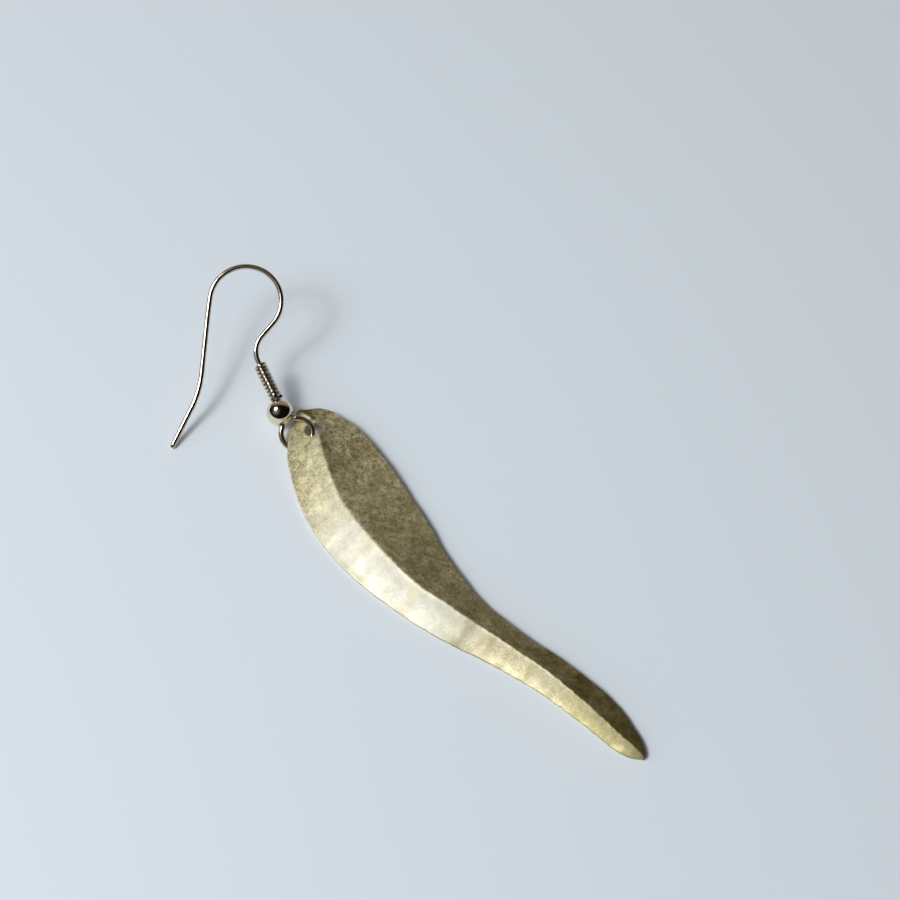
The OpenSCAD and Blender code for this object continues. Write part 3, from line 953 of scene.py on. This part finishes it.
# Surface that the earring lies on, light and camera.
studio = {
    "floorSize": 3000.0,
    "floorColour": (0.756, 0.774, 0.785),
    "floorMottle": 0.02,
    "floorClouds": (9.0, 3.0),  # clouds to the metre, and their detail
    "floorRoughness": 0.7,
    "lampWay": (-0.612, 0.104, 0.784),  # the way the light comes from
    "lampColour": (0.88, 0.94, 1.0),
    "lampAim": (3.0, 28.0, 0.0),  # the point that the lights stand off from
    "core": (500.0, 80.0, 0.44),  # distance, size and power
    "wide": (500.0, 250.0, 1.36),
    "shineWay": (-0.407, 0.334, 0.853),  # the window as the wire, coil and bead mirror it
    "shine": (500.0, 165.0, 2.2),
    "skyWay": (-0.84, 0.14, 0.52),
    "sky": 1.25,  # light from the lamps' side, on what isn't shiny
    "skyEdge": (0.3, 1.0),  # how nearly a ray has to go skyWay to meet it, and all of it
    "shade": 0.045,  # light from the other side of the room
    "farWall": (0.25, 0.238, 0.185),  # the wall behind, as the metal mirrors it
    "farWay": (0.62, 0.785, 0.0),
    "farEdge": (0.40, 0.80),  # how nearly it has to go farWay to meet the wall
    "glow": 0.3,  # faint light round the lamps, as the metal mirrors it
    "glowFocus": 13.0,
    "roomDark": (0.005, 0.004, 0.003),  # the rest of the room, as the metal mirrors it
}
view = {
    "target": (14.242, 6.470, 0.0),
    "azimuth": -38.3,
    "elevation": 55.0,
    "distance": 330.76,
    "lens": 120.0,
    "sensor": 36.0,
    "nearest": 10.0,  # nothing nearer than this is drawn
}


def makeFloor():
    # A square about the origin, in floorColour * (1 - floorMottle * clouds).
    half = studio["floorSize"] / 2 * mm
    mesh = bpy.data.meshes.new("floor")
    corners = [(-half, -half, 0), (half, -half, 0), (half, half, 0), (-half, half, 0)]
    mesh.from_pydata(corners, [], [(0, 1, 2, 3)])
    material, tree, shader = newMaterial("floorBoard", 0.0, studio["floorRoughness"])
    place = addNode(tree, "TexCoord").outputs["Object"]
    base = studio["floorColour"]
    darker = tuple(value * (1 - studio["floorMottle"]) for value in base)
    colour = mixColours(tree, noise(tree, place, *studio["floorClouds"]), base, darker)
    tree.links.new(colour, shader.inputs["Base Color"])
    mesh.materials.append(material)
    floor = addObject("floor", mesh)


def addSoftLight(name, way, lit, distance, size, power):
    # A round lamp at lampAim + way * distance, which faces the aim and lights only the named pieces.
    light = bpy.data.lights.new(name, "AREA")
    light.shape = "DISK"
    light.size = size * mm
    light.energy = power
    light.color = studio["lampColour"]
    holder = addObject(name, light)
    direction = Vector(way).normalized()
    holder.location = (Vector(studio["lampAim"]) + direction * distance) * mm
    holder.rotation_euler = direction.to_track_quat("Z", "Y").to_euler()
    receivers = bpy.data.collections.new(name)
    for member in lit:
        receivers.objects.link(bpy.data.objects[member])
    holder.light_linking.receiver_collection = receivers


def towards(tree, direction, way):
    # How nearly a ray goes that way: the dot product, at most 1.
    return addNode(tree, "VectorMath", {0: direction, 1: way}, operation="DOT_PRODUCT").outputs["Value"]


def makeRoom():
    # Metal mirrors a pale wall, a dark room and a glow round the lamps, glow * cosine ** glowFocus.
    # Everything else gets a soft light from the lamps' side.
    world = bpy.data.worlds.new("room")
    bpy.context.scene.world = world
    world.use_nodes = True
    tree = world.node_tree
    tree.nodes.clear()
    direction = addNode(tree, "TexCoord").outputs["Generated"]
    isFar = stepped(tree, towards(tree, direction, studio["farWay"]), *studio["farEdge"])
    walls = mixColours(tree, isFar, studio["roomDark"], studio["farWall"])
    toLamp = calculate(tree, "MAXIMUM", towards(tree, direction, studio["lampWay"]), 0.0)
    glow = multiplied(tree, calculate(tree, "POWER", toLamp, studio["glowFocus"]), studio["glow"])
    walls = mixColours(tree, 1.0, walls, combined(tree, glow, glow, glow), "ADD")
    mirrored = addNode(tree, "Background", {"Color": walls}).outputs[0]
    sky = stepped(tree, towards(tree, direction, studio["skyWay"]), *studio["skyEdge"],
                  studio["shade"], studio["sky"])
    soft = addNode(tree, "Background", {"Color": studio["lampColour"], "Strength": sky}).outputs[0]
    isShiny = addNode(tree, "LightPath").outputs["Is Glossy Ray"]
    both = addNode(tree, "MixShader", {0: isShiny, 1: soft, 2: mirrored}).outputs[0]
    addNode(tree, "OutputWorld", {"Surface": both})


def makeCamera():
    # Stands at target - ahead * distance, ahead being the viewing direction.
    azimuth, elevation = math.radians(view["azimuth"]), math.radians(view["elevation"])
    level = math.cos(elevation)
    ahead = Vector((-math.sin(azimuth) * level, math.cos(azimuth) * level, -math.sin(elevation)))
    lens = bpy.data.cameras.new("camera")
    lens.lens, lens.sensor_width = view["lens"], view["sensor"]
    lens.clip_start = view["nearest"] * mm
    camera = addObject("camera", lens)
    camera.location = (Vector(view["target"]) - ahead * view["distance"]) * mm
    camera.rotation_euler = ahead.to_track_quat("-Z", "Y").to_euler()
    bpy.context.scene.camera = camera


makeFloor()
addSoftLight("windowCore", studio["lampWay"], ("hammeredLeaf", "floor"), *studio["core"])
addSoftLight("windowWide", studio["lampWay"], ("hammeredLeaf", "floor"), *studio["wide"])
addSoftLight("windowShine", studio["shineWay"], ("earWire", "woundCoil", "drilledBead"), *studio["shine"])
makeRoom()
makeCamera()
bpy.context.scene.view_settings.view_transform = "Standard"
print("floor, light and camera placed")
